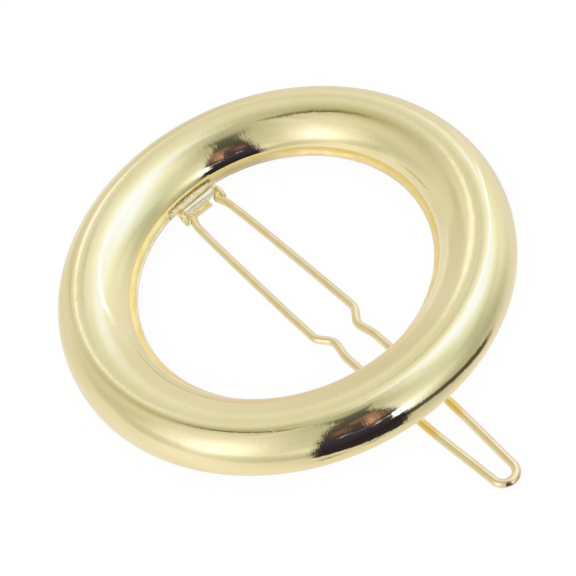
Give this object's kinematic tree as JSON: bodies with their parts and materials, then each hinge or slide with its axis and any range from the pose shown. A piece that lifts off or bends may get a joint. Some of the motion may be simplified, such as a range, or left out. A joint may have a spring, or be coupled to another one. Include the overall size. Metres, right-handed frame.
{
  "type": "hair clip",
  "caption": "Round hair clip: a domed gold ring with a flat back and a sprung wire hairpin hinged in a small folded bracket.",
  "frame": {"origin": "the bottom centre of the clip's box: under the middle of its outline, level with the bracket's foot", "axes": "+X along the pin from its hinge to its tip, +Y across the pin, +Z from the flat back to the domed front"},
  "size_m": [0.0612, 0.05, 0.006],
  "materials": {
    "front_shell": "pale gold plating, polished to a mirror",
    "back_plate": "gold plating, left duller",
    "hinge_bracket": "stamped sheet, gold plated",
    "solder_bead": "rough solder, gold plated",
    "spring_pin": "drawn spring wire, gold plated"
  },
  "bodies": {
    "clip_frame": {"front_shell": "front_shell", "back_plate": "back_plate", "hinge_bracket": "hinge_bracket", "solder_bead": "solder_bead"},
    "pin": {"spring_pin": "spring_pin"}
  },
  "joints": [
    {"name": "pin_hinge", "type": "hinge", "parent": "clip_frame", "child": "pin", "pos_m": [-0.02068, -0.0003, 0.00115], "axis": [0, 1, 0], "range_deg": [0, 95], "stiffness_Nm_per_rad": 0.01, "springref_deg": -45.84}
  ]
}
